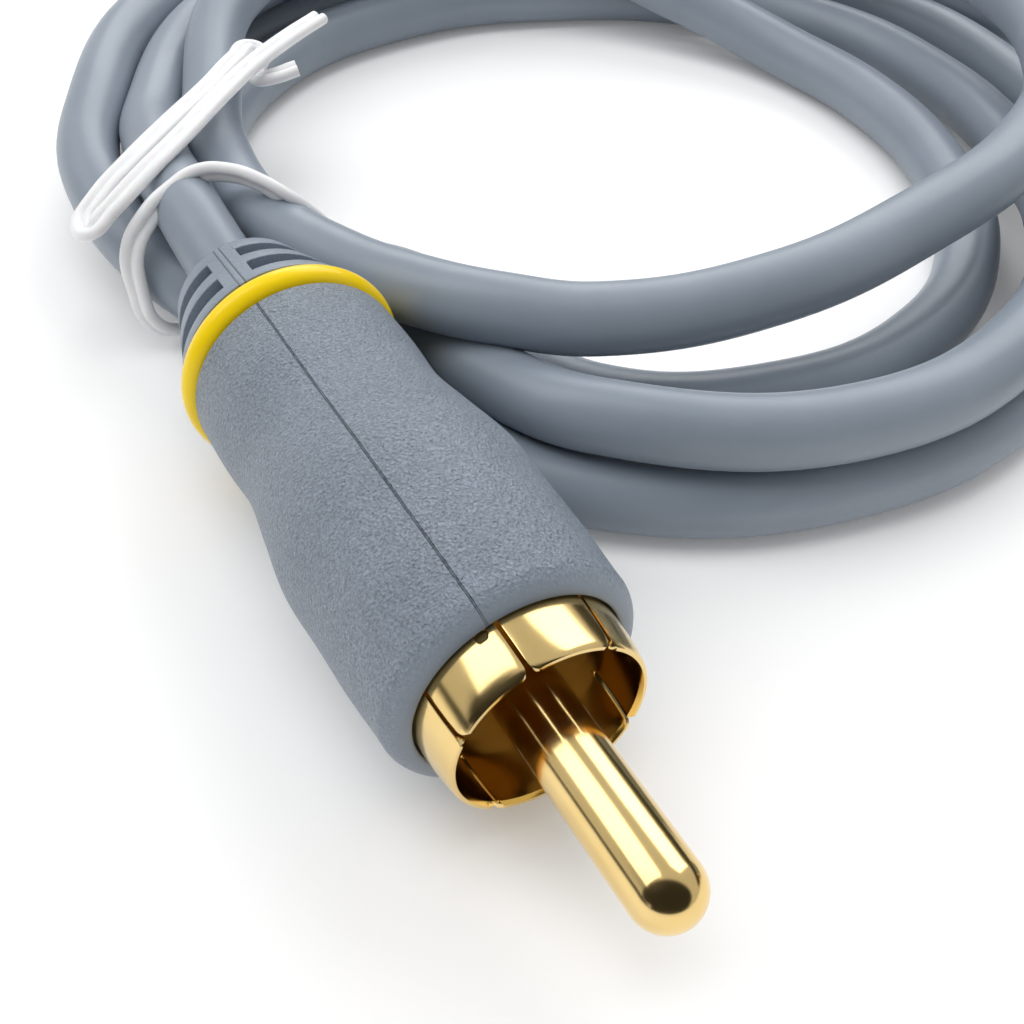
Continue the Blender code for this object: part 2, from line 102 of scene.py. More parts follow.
world = bpy.data.worlds.new("studio")
world.use_nodes = True
bpy.context.scene.world = world
sky = world.node_tree.nodes["Background"]
sky.inputs["Color"].default_value = (1, 1, 1, 1)
SKY_SEEN_MORE = 0.20
SKY_LIGHT = 0.43
sky_level = add_node(world, "ShaderNodeMath", [(seen_rays(world), 0)], operation="MULTIPLY_ADD")
sky_level.inputs[1].default_value = SKY_SEEN_MORE
sky_level.inputs[2].default_value = SKY_LIGHT
join_sockets(world, sky_level.outputs[0], sky.inputs["Strength"])

# Each lamp's name, direction from the plug, distance, size, power, and whether gloss shows it.
LAMPS = (
    ("soft_box_left", (-0.586, 0.087, 0.805), 0.70, 0.50, 1.62, True),
    ("soft_box_right", (0.389, 0.645, 0.657), 0.70, 0.44, 1.48, True),
    ("soft_box_back", (-0.05, 0.88, 0.45), 0.80, 0.40, 1.20, True),
    ("top_lamp", (0.00, 0.02, 1.0), 0.62, 0.34, 0.95, False),
)
PLUG_NOSE = Vector((-0.0125, -0.0430, 0.006))
for name, direction, distance, size, power, in_gloss in LAMPS:
    lamp = bpy.data.lights.new(name, "AREA")
    lamp.size = size
    lamp.energy = power
    box = bpy.data.objects.new(name, lamp)
    bpy.context.scene.collection.objects.link(box)
    toward = Vector(direction).normalized()
    box.location = PLUG_NOSE + distance * toward
    box.rotation_euler = (-toward).to_track_quat("-Z", "Y").to_euler()
    box.visible_glossy = in_gloss

black_card, card_shader = new_material("black_card", 1.0)
card_shader.inputs["Base Color"].default_value = (0.015, 0.013, 0.010, 1)
card_shader.inputs["Specular IOR Level"].default_value = 0.0
card_shader.inputs["Emission Color"].default_value = (1, 1, 1, 1)
card_place = add_node(black_card, "ShaderNodeTexCoord")
card_size = add_node(black_card, "ShaderNodeMapping", [(card_place.outputs["Object"], "Vector")])
card_size.inputs["Scale"].default_value = (2, 2, 2)
card_middle = add_node(black_card, "ShaderNodeTexGradient", gradient_type="SPHERICAL")
join_sockets(black_card, card_size.outputs["Vector"], card_middle.inputs["Vector"])
card_edge = add_node(black_card, "ShaderNodeMapRange", [(card_middle.outputs["Fac"], "Value")])
card_edge.interpolation_type = "SMOOTHSTEP"
card_edge.inputs["From Max"].default_value = 0.30
card_edge.inputs["To Min"].default_value = SKY_LIGHT + SKY_SEEN_MORE
card_edge.inputs["To Max"].default_value = 0.02
join_sockets(black_card, card_edge.outputs["Result"], card_shader.inputs["Emission Strength"])
# Each card's name, direction from the plug, distance, width and height.
CARDS = (
    ("card_front", (-0.05, -0.72, 0.60), 0.40, 2.00, 1.05),
    ("card_right", (0.70, 0.70, 0.13), 0.30, 0.60, 0.13),
    ("card_left", (-0.93, -0.33, 0.10), 0.34, 0.40, 0.055),
)
for name, direction, distance, width, height in CARDS:
    bpy.ops.mesh.primitive_plane_add(size=1)
    card = bpy.context.object
    card.name = name
    toward = Vector(direction).normalized()
    card.scale = (width, height, 1)
    card.rotation_euler = (-toward).to_track_quat("Z", "Y").to_euler()
    card.location = PLUG_NOSE + distance * toward
    card.data.materials.append(black_card)
    card.visible_camera = False
    card.visible_diffuse = False
    card.visible_shadow = False
    card.visible_transmission = False

# The cable: one length of round coaxial lead, extruded in a satin blue-grey PVC. It starts inside
# the front plug, lies in four loose turns, and its last stretch runs into the side plug.
CABLE_RADIUS = 0.00195
COIL_CENTRE = (-0.0129, 0.0111)
FRONT_RIM = (-0.0158, -0.0382)
FRONT_HEADING = math.radians(29.8)
SIDE_RIM = (0.0411, -0.0234)
AXIS_HEIGHT = 0.00632
JACKET_FRONT = -0.0214
RELIEF_BACK = -0.0331

front_back = Vector((-math.sin(FRONT_HEADING), math.cos(FRONT_HEADING), 0))
front_rim = Vector((*FRONT_RIM, AXIS_HEIGHT))
side_rim = Vector((*SIDE_RIM, AXIS_HEIGHT))
route = []
for distance in (JACKET_FRONT, -0.0250, -0.0290, RELIEF_BACK):
    route.append(front_rim - front_back * distance)

# Stations round the coil, in degrees clockwise from its left side, then each turn's radius and
# height there in millimetres. The lead from the front plug comes in over the three before them.
LEAD_STATIONS = ((-40, 27.6, 7.0), (-30, 27.1, 7.6), (-14, 27.4, 6.9))
STATIONS = (0, 30, 60, 90, 112, 135, 157, 180, 202, 225, 247, 270, 282, 295, 308, 327, 345)
TURNS = (
    (
        28.3, 30.6, 31.4, 30.6, 31.0, 31.6, 31.5, 30.2, 27.7,
        25.2, 24.5, 24.5, 24.3, 23.6, 22.9, 23.0, 23.5,
    ),
    (
        24.3, 27.6, 28.3, 25.5, 23.7, 23.3, 23.6, 24.6, 26.2,
        26.9, 26.1, 24.1, 21.0, 18.0, 17.2, 19.9, 23.1,
    ),
    (
        24.9, 26.7, 26.8, 26.6, 27.6, 29.3, 29.4, 29.4, 30.9,
        33.0, 33.2, 30.0, 26.1, 21.8, 21.0, 24.3, 27.4,
    ),
    (
        29.5, 31.1, 31.0, 31.2, 33.0, 35.0, 35.0, 34.2, 34.0,
        34.0, 33.5, 31.6, 29.3, 25.3, 24.7, 28.6, 31.3,
    ),
    (32.2, 35.0, 35.8),
)
HEIGHTS = (
    (5.8, 5.9, 5.9, 6.1, 7.2, 8.8, 9.6, 9.9, 9.8, 9.2, 8.3, 7.7, 7.8, 7.4, 6.7, 6.2, 6.2),
    (6.5, 8.4, 8.7, 6.3, 4.0, 2.2, 2.0, 2.0, 2.0, 2.0, 2.0, 2.0, 2.0, 2.0, 2.0, 2.0, 2.0),
    (2.0, 2.0, 2.0, 2.0, 2.0, 2.0, 2.3, 3.3, 4.9, 5.9, 6.0, 5.8, 4.6, 3.4, 2.6, 2.0, 2.0),
    (2.0, 2.0, 2.0, 2.0, 2.0, 2.0, 2.0, 2.0, 2.0, 2.0, 2.0, 2.0, 2.0, 2.0, 2.0, 3.6, 5.3),
    (5.9, 6.1, 5.9),
)


def round_coil(station, radius, height):
    """The point at this station, radius and height of the coil, in metres."""
    angle = math.radians(180 - station)
    x = COIL_CENTRE[0] + radius / 1000 * math.cos(angle)
    y = COIL_CENTRE[1] + radius / 1000 * math.sin(angle)
    return Vector((x, y, height / 1000))


for station, radius, height in LEAD_STATIONS:
    route.append(round_coil(station, radius, height))
for radii, heights in zip(TURNS, HEIGHTS):
    for station, radius, height in zip(STATIONS, radii, heights):
        route.append(round_coil(station, radius, height))
# The last stretch leaves the outermost turn at the top and comes round to the side plug's back.
TAIL = (
    (-0.0107, 0.0463, 0.0060),
    (-0.0003, 0.0452, 0.0060),
    (0.0078, 0.0433, 0.0054),
    (0.0155, 0.0364, 0.0040),
    (0.0227, 0.0302, 0.0032),
    (0.0311, 0.0256, 0.0034),
    (0.0383, 0.0202, 0.0050),
)
for point in TAIL:
    route.append(Vector(point))
for distance in (0.0370, 0.0331, 0.0214):
    route.append(side_rim + Vector((0, distance, 0)))

cable_curve = bpy.data.curves.new("cable_jacket", "CURVE")
cable_curve.dimensions = "3D"
cable_line = cable_curve.splines.new("BEZIER")
cable_line.bezier_points.add(len(route) - 1)
for knot, point in zip(cable_line.bezier_points, route):
    knot.co = point
    knot.handle_left_type = "AUTO"
    knot.handle_right_type = "AUTO"
cable_curve.resolution_u = 12
cable_curve.bevel_depth = CABLE_RADIUS
cable_curve.bevel_resolution = 16
cable_curve.use_fill_caps = True
cable = bpy.data.objects.new("cable_jacket", cable_curve)
bpy.context.scene.collection.objects.link(cable)

jacket, jacket_shader = new_material("satin_grey_pvc")
place_of = add_node(jacket, "ShaderNodeTexCoord")
cloudy = add_node(jacket, "ShaderNodeTexNoise", [(place_of.outputs["Object"], "Vector")])
cloudy.inputs["Scale"].default_value = 160
cloudy.inputs["Detail"].default_value = 3
tint = add_node(jacket, "ShaderNodeValToRGB", [(cloudy.outputs["Fac"], "Fac")])
tint.color_ramp.elements[0].position = 0.3
tint.color_ramp.elements[0].color = (0.232, 0.273, 0.325, 1)
tint.color_ramp.elements[1].position = 0.7
tint.color_ramp.elements[1].color = (0.262, 0.305, 0.360, 1)
join_sockets(jacket, tint.outputs["Color"], jacket_shader.inputs["Base Color"])
skin = add_node(jacket, "ShaderNodeTexNoise", [(place_of.outputs["Object"], "Vector")])
skin.inputs["Scale"].default_value = 2600
skin.inputs["Detail"].default_value = 4
sheen_spread = add_node(jacket, "ShaderNodeMapRange", [(skin.outputs["Fac"], "Value")])
sheen_spread.inputs["To Min"].default_value = 0.30
sheen_spread.inputs["To Max"].default_value = 0.44
join_sockets(jacket, sheen_spread.outputs["Result"], jacket_shader.inputs["Roughness"])
orange_peel = add_node(jacket, "ShaderNodeTexNoise", [(place_of.outputs["Object"], "Vector")])
orange_peel.inputs["Scale"].default_value = 420
orange_peel.inputs["Detail"].default_value = 2
ripple = add_node(jacket, "ShaderNodeBump", [(orange_peel.outputs["Fac"], "Height")])
ripple.inputs["Strength"].default_value = 0.12
ripple.inputs["Distance"].default_value = 0.00025
fine_ripple = add_node(jacket, "ShaderNodeBump", [(skin.outputs["Fac"], "Height")])
join_sockets(jacket, ripple.outputs["Normal"], fine_ripple.inputs["Normal"])
fine_ripple.inputs["Strength"].default_value = 0.10
fine_ripple.inputs["Distance"].default_value = 0.00004
join_sockets(jacket, fine_ripple.outputs["Normal"], jacket_shader.inputs["Normal"])
cable_curve.materials.append(jacket)
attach(cable, "root")
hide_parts("cable_coil", "cable_lead", "cable_tail")

# The grip: one overmould of the same PVC round the contacts, from the smooth lip at the mouth,
# over the waisted grip with its fine pebble grain, to the ring's groove, the collar and the
# slotted strain relief. The halves of the mould leave a seam along its top and its underside,
# pressed in as fine grooves whose dark colour is painted shade in them.
SIDES = 128
HAIR = 0.0001
MOUTH = 0.0025
MOUTH_BORE = 0.0049
BORE_ROWS = (0.0100, 0.0046, MOUTH + HAIR)
LIP_ROUND = 0.0011
GRIP_STATIONS = (0.0038, 0.0066, 0.0096, 0.0127, 0.0158, 0.0188, 0.0219, 0.0250)
GRIP_RADII = (0.00600, 0.00618, 0.00624, 0.00632, 0.00589, 0.00549, 0.00562, 0.00560)
GROOVE_RADIUS = 0.0046
GROOVE_BACK = 0.0270
RELIEF = (
    (0.00545, 0.0270),
    (0.00535, 0.0275),
    (0.00521, 0.0279),
    (0.00497, 0.0286),
    (0.00477, 0.0293),
    (0.00460, 0.0299),
    (0.00444, 0.0304),
    (0.00410, 0.0316),
    (0.00396, 0.0321),
    (0.00378, 0.0327),
    (0.00356, 0.0330),
    (0.00300, 0.0331),
    (0.00200, 0.0331),
    (0.00200, 0.0320),
)
RELIEF_SLOTS = ((0.0279, 0.0293), (0.0304, 0.0316))
SLOT_FLOOR = 0.86
BRIDGE_HALF_WIDTH = 0.00085
SLOT_INNERMOST = 0.0035
EDGE_ROUND = 0.00008
THIN_CUT = 0.000001
SEAM_LINE = 0.00004
SEAM_EDGE = 0.00007
SEAM_OUTSIDE = 0.00011
SEAM_DEPTH = 0.00004
SEAM_REACH = 0.000004
SEAM_INNERMOST = 0.0034
RELIEF_SEAM = (0.0275, 0.0329)
COLLAR_SEAM = 2.4
COLLAR_START = 0.0251
COLLAR_GRAIN = 0.25
GRAIN_FADE = 0.0008


def grip_radius(behind):
    """The grip's radius at a distance behind the rim, on a smooth line through its stations."""
    cell = 0
    while cell < len(GRIP_STATIONS) - 2 and GRIP_STATIONS[cell + 1] < behind:
        cell += 1
    t = (behind - GRIP_STATIONS[cell]) / (GRIP_STATIONS[cell + 1] - GRIP_STATIONS[cell])
    last = len(GRIP_RADII) - 1
    before, start, end, after = (GRIP_RADII[min(max(cell + k, 0), last)] for k in (-1, 0, 1, 2))
    bow = (2 * before - 5 * start + 4 * end - after) * t**2
    bow += (3 * start - before - 3 * end + after) * t**3
    return (2 * start + (end - before) * t + bow) / 2


def lathe(name, profile, sides=SIDES):
    """A ring drawn out through (radius, distance behind the rim) stations along local Z."""
    bpy.ops.object.select_all(action="DESELECT")
    radius, behind = profile[0]
    bpy.ops.mesh.primitive_circle_add(vertices=sides, radius=radius, location=(0, 0, -behind))
    turned = bpy.context.object
    turned.name = name
    bpy.ops.object.transform_apply(location=True, rotation=False, scale=False)
    bpy.ops.object.mode_set(mode="EDIT")
    bpy.ops.mesh.select_all(action="SELECT")
    for next_radius, next_behind in profile[1:]:
        along = {"value": (0, 0, behind - next_behind)}
        bpy.ops.mesh.extrude_region_move(TRANSFORM_OT_translate=along)
        share = next_radius / radius
        bpy.ops.transform.resize(value=(share, share, 1), center_override=(0, 0, -next_behind))
        radius, behind = next_radius, next_behind
    bpy.ops.object.mode_set(mode="OBJECT")
    return turned


def plug_place(rim, heading, roll):
    """Where a plug lies: local Z points out of its nose and local Y at its seam."""
    turn = Matrix.Rotation(heading, 4, "Z") @ Matrix.Rotation(math.radians(90), 4, "X")
    return Matrix.Translation(rim) @ turn @ Matrix.Rotation(roll, 4, "Z")


FRONT_ROLL = math.radians(17)
FRONT_PLACE = plug_place(front_rim, FRONT_HEADING, FRONT_ROLL)
SIDE_PLACE = plug_place(side_rim, 0, 0)


def set_in_plugs(made, kind):
    """Makes the second piece from the first, and puts one in each plug, its place in its mesh."""
    second = made.copy()
    second.data = made.data.copy()
    bpy.context.scene.collection.objects.link(second)
    for piece, end, place in ((made, "front", FRONT_PLACE), (second, "side", SIDE_PLACE)):
        piece.name = f"{end}_{kind}"
        piece.data.name = piece.name
        piece.matrix_world = place
        bpy.ops.object.select_all(action="DESELECT")
        piece.select_set(True)
        bpy.context.view_layer.objects.active = piece
        bpy.ops.object.transform_apply(location=True, rotation=True, scale=True)
    return made, second


grip_line = [(MOUTH_BORE, behind) for behind in BORE_ROWS]
lip_middle = (GRIP_RADII[0] - LIP_ROUND, MOUTH + LIP_ROUND)
for degrees in (88, 80, 72, 64, 56, 48, 40, 32, 24, 16, 8):
    angle = math.radians(degrees)
    radius = lip_middle[0] + LIP_ROUND * math.cos(angle)
    grip_line.append((radius, lip_middle[1] - LIP_ROUND * math.sin(angle)))
GRIP_ROWS = 48
for step in range(GRIP_ROWS + 1):
    behind = GRIP_STATIONS[0] + (GRIP_STATIONS[-1] - GRIP_STATIONS[0]) * step / GRIP_ROWS
    grip_line.append((grip_radius(behind), behind))
grip_line.append((GROOVE_RADIUS, GRIP_STATIONS[-1]))
grip_line.append((GROOVE_RADIUS, GROOVE_BACK))
grip_line.extend(RELIEF)
grip = lathe("grip", grip_line)

bpy.ops.object.mode_set(mode="EDIT")
for offset in (-BRIDGE_HALF_WIDTH, BRIDGE_HALF_WIDTH):
    bpy.ops.mesh.select_all(action="SELECT")
    bpy.ops.mesh.bisect(plane_co=(offset, 0, 0), plane_no=(1, 0, 0), threshold=THIN_CUT)
bpy.ops.mesh.select_mode(type="FACE")
bpy.ops.mesh.select_all(action="DESELECT")
bpy.ops.object.mode_set(mode="OBJECT")
for face in grip.data.polygons:
    middle = face.center
    beside_bridge = abs(middle.x) > BRIDGE_HALF_WIDTH
    in_slot = any(start < -middle.z < end for start, end in RELIEF_SLOTS)
    outside = math.hypot(middle.x, middle.y) > SLOT_INNERMOST
    face.select = beside_bridge and in_slot and outside
bpy.ops.object.mode_set(mode="EDIT")
bpy.ops.mesh.extrude_region_move(TRANSFORM_OT_translate={"value": (0, 0, 0)})
bpy.ops.transform.resize(value=(SLOT_FLOOR, SLOT_FLOOR, 1), center_override=(0, 0, 0))
bpy.ops.mesh.select_mode(type="EDGE")
bpy.ops.mesh.select_all(action="DESELECT")
bpy.ops.mesh.edges_select_sharp(sharpness=math.radians(35))
bpy.ops.mesh.bevel(offset=EDGE_ROUND, segments=3, profile=0.5)
for offset in (-SEAM_OUTSIDE, -SEAM_EDGE, -SEAM_LINE, SEAM_LINE, SEAM_EDGE, SEAM_OUTSIDE):
    bpy.ops.mesh.select_all(action="SELECT")
    bpy.ops.mesh.bisect(plane_co=(offset, 0, 0), plane_no=(1, 0, 0), threshold=THIN_CUT)
bpy.ops.mesh.select_all(action="SELECT")
bpy.ops.mesh.normals_make_consistent(inside=False)
bpy.ops.object.mode_set(mode="OBJECT")
grip.data.attributes.new("grain", "FLOAT", "POINT")
grip.data.attributes.new("seam", "FLOAT", "POINT")
for number, vertex in enumerate(grip.data.vertices):
    behind = -vertex.co.z
    radius = math.hypot(vertex.co.x, vertex.co.y)
    body = min(1, max(0, (behind - MOUTH) / GRAIN_FADE))
    grain = body if behind < COLLAR_START else COLLAR_GRAIN
    grip.data.attributes["grain"].data[number].value = grain
    on_skin = radius > GROOVE_RADIUS + HAIR or RELIEF_SEAM[0] < behind < RELIEF_SEAM[1]
    line = SEAM_EDGE if behind > GROOVE_BACK else SEAM_LINE
    on_line = abs(abs(vertex.co.x) - line) < SEAM_REACH
    in_seam = on_line and on_skin and radius > SEAM_INNERMOST
    grip.data.attributes["seam"].data[number].value = 1.0 if in_seam else 0.0
    if in_seam:
        vertex.co.y -= math.copysign(SEAM_DEPTH, vertex.co.y)
    if abs(vertex.co.x) < SEAM_OUTSIDE + SEAM_REACH and behind > GROOVE_BACK:
        vertex.co.x *= COLLAR_SEAM

pvc, pvc_shader = new_material("grained_grey_pvc")
place_of = add_node(pvc, "ShaderNodeTexCoord")
cloudy = add_node(pvc, "ShaderNodeTexNoise", [(place_of.outputs["Object"], "Vector")])
cloudy.inputs["Scale"].default_value = 220
tint = add_node(pvc, "ShaderNodeValToRGB", [(cloudy.outputs["Fac"], "Fac")])
tint.color_ramp.elements[0].position = 0.3
tint.color_ramp.elements[0].color = (0.220, 0.261, 0.313, 1)
tint.color_ramp.elements[1].position = 0.7
tint.color_ramp.elements[1].color = (0.250, 0.295, 0.352, 1)
# The seam's grooves are painted a dark blue-grey: painted shade in the grooves, added to their own
# shading.
seam_shade_mask = add_node(pvc, "ShaderNodeAttribute", attribute_name="seam")
seam_groove_shade = add_node(pvc, "ShaderNodeMix", data_type="RGBA")
join_sockets(pvc, seam_shade_mask.outputs["Fac"], seam_groove_shade.inputs["Factor"])
join_sockets(pvc, tint.outputs["Color"], seam_groove_shade.inputs["A"])
seam_groove_shade.inputs["B"].default_value = (0.065, 0.078, 0.098, 1)
# This node carries the grain's painted light and shade, set from the wrinkle noise below.
grain_shaded_colour = add_node(pvc, "ShaderNodeHueSaturation", [(seam_groove_shade.outputs["Result"], "Color")])
join_sockets(pvc, grain_shaded_colour.outputs["Color"], pvc_shader.inputs["Base Color"])
pebbles = add_node(pvc, "ShaderNodeTexVoronoi", [(place_of.outputs["Object"], "Vector")])
pebbles.inputs["Scale"].default_value = 6400
pebbles.inputs["Randomness"].default_value = 1.0
wrinkles = add_node(pvc, "ShaderNodeTexNoise", [(place_of.outputs["Object"], "Vector")])
wrinkles.inputs["Scale"].default_value = 7600
wrinkles.inputs["Detail"].default_value = 3
wrinkles.inputs["Distortion"].default_value = 0.6
grain_of = add_node(pvc, "ShaderNodeAttribute", attribute_name="grain")
coarse = add_node(pvc, "ShaderNodeMath", operation="MULTIPLY")
join_sockets(pvc, pebbles.outputs["Distance"], coarse.inputs[0])
join_sockets(pvc, grain_of.outputs["Fac"], coarse.inputs[1])
fine = add_node(pvc, "ShaderNodeMath", operation="MULTIPLY")
join_sockets(pvc, wrinkles.outputs["Fac"], fine.inputs[0])
join_sockets(pvc, grain_of.outputs["Fac"], fine.inputs[1])
# Painted light and shade on the grain: the colour is made lighter on the wrinkles' crests and
# darker in their hollows, following the wrinkle bump.
spread = add_node(pvc, "ShaderNodeMath", [(wrinkles.outputs["Fac"], 0)], operation="SUBTRACT")
spread.inputs[1].default_value = 0.5
on_body = add_node(pvc, "ShaderNodeMath", [(spread.outputs[0], 0)], operation="MULTIPLY")
join_sockets(pvc, grain_of.outputs["Fac"], on_body.inputs[1])
painted_grain_shade = add_node(pvc, "ShaderNodeMath", [(on_body.outputs[0], 0)], operation="MULTIPLY_ADD")
painted_grain_shade.inputs[1].default_value = 1.6
painted_grain_shade.inputs[2].default_value = 1.0
join_sockets(pvc, painted_grain_shade.outputs[0], grain_shaded_colour.inputs["Value"])
pebble_bump = add_node(pvc, "ShaderNodeBump", [(coarse.outputs[0], "Height")])
pebble_bump.inputs["Strength"].default_value = 0.7
pebble_bump.inputs["Distance"].default_value = 0.00010
wrinkle_bump = add_node(pvc, "ShaderNodeBump", [(fine.outputs[0], "Height")])
join_sockets(pvc, pebble_bump.outputs["Normal"], wrinkle_bump.inputs["Normal"])
wrinkle_bump.inputs["Strength"].default_value = 1.0
wrinkle_bump.inputs["Distance"].default_value = 0.00012
join_sockets(pvc, wrinkle_bump.outputs["Normal"], pvc_shader.inputs["Normal"])
dull = add_node(pvc, "ShaderNodeMapRange", [(grain_of.outputs["Fac"], "Value")])
dull.inputs["To Min"].default_value = 0.36
dull.inputs["To Max"].default_value = 0.40
join_sockets(pvc, dull.outputs["Result"], pvc_shader.inputs["Roughness"])
grip.data.materials.append(pvc)
bpy.ops.object.shade_smooth_by_angle(angle=math.radians(32))
front_grip, side_grip = set_in_plugs(grip, "grip")
for end, piece in (("front", front_grip), ("side", side_grip)):
    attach(piece, "root")
    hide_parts(f"grip_{end}")

# The colour ring: a glossy yellow PVC bead pressed over the grip into its groove, to mark
# the lead as the picture signal.
RING_MIDDLE = 0.0260
RING_BEAD = 0.00072
RING_CROWN = 0.00520
RING_SEAT = 0.0049
RING_WELD = 0.000005
ring_line = [(RING_SEAT, RING_MIDDLE - RING_BEAD)]
for degrees in range(90, -91, -15):
    angle = math.radians(degrees)
    radius = RING_CROWN + RING_BEAD * math.cos(angle)
    ring_line.append((radius, RING_MIDDLE - RING_BEAD * math.sin(angle)))
ring_line.append((RING_SEAT, RING_MIDDLE + RING_BEAD))
ring_line.append((RING_SEAT, RING_MIDDLE - RING_BEAD))
ring = lathe("ring", ring_line)
bpy.ops.object.mode_set(mode="EDIT")
bpy.ops.mesh.select_all(action="SELECT")
bpy.ops.mesh.remove_doubles(threshold=RING_WELD)
bpy.ops.mesh.normals_make_consistent(inside=False)
bpy.ops.object.mode_set(mode="OBJECT")
yellow, yellow_shader = new_material("glossy_yellow_pvc", 0.30)
yellow_shader.inputs["Specular IOR Level"].default_value = 0.22
yellow_shader.inputs["Coat Weight"].default_value = 0.3
yellow_shader.inputs["Coat Roughness"].default_value = 0.12
place_of = add_node(yellow, "ShaderNodeTexCoord")
cloudy = add_node(yellow, "ShaderNodeTexNoise", [(place_of.outputs["Object"], "Vector")])
cloudy.inputs["Scale"].default_value = 500
tint = add_node(yellow, "ShaderNodeValToRGB", [(cloudy.outputs["Fac"], "Fac")])
tint.color_ramp.elements[0].color = (0.98, 0.66, 0.0, 1)
tint.color_ramp.elements[1].color = (1.0, 0.72, 0.0, 1)
join_sockets(yellow, tint.outputs["Color"], yellow_shader.inputs["Base Color"])
flow = add_node(yellow, "ShaderNodeBump", [(cloudy.outputs["Fac"], "Height")])
flow.inputs["Strength"].default_value = 0.15
flow.inputs["Distance"].default_value = 0.0001
join_sockets(yellow, flow.outputs["Normal"], yellow_shader.inputs["Normal"])
ring.data.materials.append(yellow)
bpy.ops.object.shade_smooth_by_angle(angle=math.radians(40))
front_ring, side_ring = set_in_plugs(ring, "ring")
for end, piece in (("front", front_ring), ("side", side_ring)):
    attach(piece, "root")
    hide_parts(f"colour_ring_{end}")

# The outer contact: a thin brass shell, drawn, slotted into sprung petals and gold plated.
# Three slots run in from the rim above and three below.
SHELL_WALL = 0.00030
SHELL_OUTER = (
    (0.00486, 0.0100),
    (0.00486, 0.0036),
    (0.00486, 0.0032),
    (0.00483, 0.0029),
    (0.00482, 0.0026),
    (0.00480, 0.0021),
    (0.00477, 0.0016),
    (0.00473, 0.0011),
    (0.00468, 0.0007),
    (0.00462, 0.0003),
    (0.00456, 0.0001),
)
SHELL_RIM = ((0.00451, 0.0), (0.00435, 0.0))
SHELL_BACK_ROWS = 0.00995
shell_line = [*SHELL_OUTER, *SHELL_RIM]
for radius, behind in reversed(SHELL_OUTER):
    shell_line.append((radius - SHELL_WALL, behind + HAIR))
shell = lathe("shell", shell_line)
bpy.ops.object.mode_set(mode="EDIT")
bpy.ops.mesh.select_all(action="SELECT")
bpy.ops.mesh.normals_make_consistent(inside=False)
bpy.ops.object.mode_set(mode="OBJECT")
back_rows = [vertex.index for vertex in shell.data.vertices if -vertex.co.z > SHELL_BACK_ROWS]
bpy.ops.object.mode_set(mode="EDIT")
bpy.ops.mesh.select_mode(type="VERT")
bpy.ops.mesh.select_all(action="DESELECT")
bpy.ops.object.mode_set(mode="OBJECT")
for index in back_rows:
    shell.data.vertices[index].select = True
bpy.ops.object.mode_set(mode="EDIT")
bpy.ops.mesh.bridge_edge_loops()
bpy.ops.mesh.select_all(action="SELECT")
bpy.ops.mesh.normals_make_consistent(inside=False)
bpy.ops.object.mode_set(mode="OBJECT")

SLOT_WIDTH = 0.0002
SLOT_LENGTH = 0.0030
SLOT_MIDDLE = 0.0045
SLOT_DEPTH = 0.0016
SLOT_END_ROUND = 0.45
SLOT_TURNS = (-44, 4, 52, 136, 184, 232)
# Where a slot comes to the rim its corners round off: height above the rim, half the width there.
SLOT_FLARE = (
    (-0.00042, 0.00010),
    (-0.00028, 0.000115),
    (-0.00016, 0.00016),
    (-0.00007, 0.00023),
    (0.0, 0.00034),
)
SAME_PLACE = 0.00001
CUTTER_TOP = 0.001
cutters = []
for turn in SLOT_TURNS:
    bpy.ops.mesh.primitive_cube_add(size=1, location=(0, SLOT_MIDDLE, 0))
    cutter = bpy.context.object
    cutter.scale = (SLOT_WIDTH, SLOT_DEPTH, 2 * SLOT_LENGTH)
    bpy.ops.object.transform_apply(location=True, rotation=False, scale=True)
    bpy.ops.object.mode_set(mode="EDIT")
    bpy.ops.mesh.select_mode(type="EDGE")
    bpy.ops.mesh.select_all(action="DESELECT")
    bpy.ops.object.mode_set(mode="OBJECT")
    for edge in cutter.data.edges:
        ends = [cutter.data.vertices[index].co for index in edge.vertices]
        edge.select = all(end.z < 0 for end in ends) and abs(ends[0].x - ends[1].x) < SAME_PLACE
    bpy.ops.object.mode_set(mode="EDIT")
    bpy.ops.mesh.bevel(offset=SLOT_WIDTH * SLOT_END_ROUND, segments=5)
    for height, _ in SLOT_FLARE:
        bpy.ops.mesh.select_all(action="SELECT")
        bpy.ops.mesh.bisect(plane_co=(0, 0, height), plane_no=(0, 0, 1), threshold=THIN_CUT)
    bpy.ops.object.mode_set(mode="OBJECT")
    for vertex in cutter.data.vertices:
        for height, half_width in SLOT_FLARE:
            if abs(vertex.co.z - height) < SAME_PLACE:
                vertex.co.x = math.copysign(half_width, vertex.co.x)
        if vertex.co.z > CUTTER_TOP:
            vertex.co.x = math.copysign(SLOT_FLARE[-1][1], vertex.co.x)
    cutter.matrix_world = Matrix.Rotation(-math.radians(turn), 4, "Z")
    cutters.append(cutter)

# One small round dimple is pressed into the shell where the grip's seam meets it.
DIMPLE_TURN = -5
DIMPLE_RADIUS = 0.00030
DIMPLE_FLOOR = 0.00475
DIMPLE_TOOL = 0.001
DIMPLE_BEHIND = 0.00245
bpy.ops.mesh.primitive_cylinder_add(vertices=32, radius=DIMPLE_RADIUS, depth=DIMPLE_TOOL)
dimple = bpy.context.object
bpy.ops.object.mode_set(mode="EDIT")
bpy.ops.mesh.select_mode(type="EDGE")
bpy.ops.mesh.select_all(action="DESELECT")
bpy.ops.mesh.edges_select_sharp(sharpness=math.radians(50))
bpy.ops.mesh.bevel(offset=EDGE_ROUND, segments=3)
bpy.ops.object.mode_set(mode="OBJECT")
out = Matrix.Rotation(math.radians(-90), 4, "X")
shift = Matrix.Translation((0, DIMPLE_FLOOR + DIMPLE_TOOL / 2, -DIMPLE_BEHIND))
